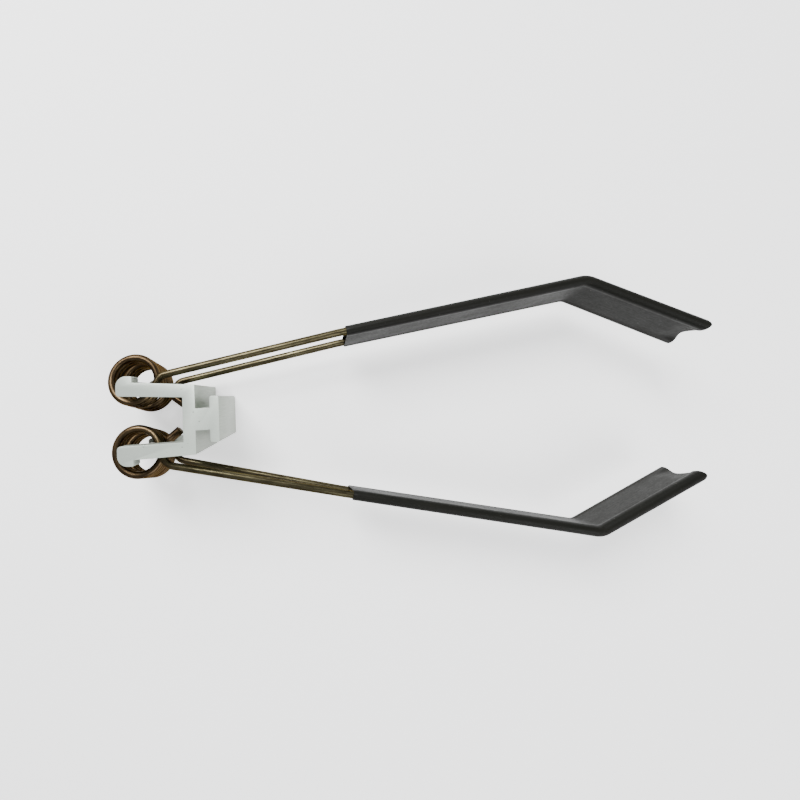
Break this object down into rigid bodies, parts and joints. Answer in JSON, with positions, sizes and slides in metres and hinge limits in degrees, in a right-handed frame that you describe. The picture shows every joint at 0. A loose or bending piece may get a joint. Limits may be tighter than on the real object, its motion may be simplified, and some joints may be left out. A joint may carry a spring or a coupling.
{
  "type": "spring-loaded gripping tongs",
  "caption": "Sprung gripping tongs: extruded aluminium bracket with a T-head for a slot, and hinged spring-wire arms in black sleeves with inward-bent paddle tips.",
  "frame": {"origin": "centre of the flat outer face of the bracket's T-head", "axes": "+X out of the T-head's face and along the arms to their tips, +Y from the lower arm to the upper arm, +Z along the bracket's extrusion and the pins"},
  "size_m": [0.1527, 0.0671, 0.0276],
  "materials": {
    "bracket": "matt as-extruded aluminium with sawn ends",
    "pin": "plain ground steel",
    "spring_wire": "oil-tempered spring wire, glossy olive brown",
    "sleeve": "heat-shrunk black tube, soft gloss"
  },
  "bodies": {
    "bracket": {"bracket": "bracket", "upper_pin": "pin", "lower_pin": "pin"},
    "upper_arm": {"upper_front_spring": "spring_wire", "upper_rear_spring": "spring_wire", "upper_sleeve": "sleeve"},
    "lower_arm": {"lower_front_spring": "spring_wire", "lower_rear_spring": "spring_wire", "lower_sleeve": "sleeve"}
  },
  "joints": [
    {"name": "upper_arm_swing", "type": "hinge", "parent": "bracket", "child": "upper_arm", "pos_m": [-0.0241, 0.0099, 0], "axis": [-0.0233, 0.1372, 0.9903], "range_deg": [-6.2, 75], "stiffness_Nm_per_rad": 2, "deforming": ["upper_front_spring", "upper_rear_spring"]},
    {"name": "lower_arm_swing", "type": "hinge", "parent": "bracket", "child": "lower_arm", "pos_m": [-0.0237, -0.0095, 0], "axis": [-0.0262, -0.1542, -0.9877], "range_deg": [-6.2, 75], "stiffness_Nm_per_rad": 2, "deforming": ["lower_front_spring", "lower_rear_spring"]}
  ]
}
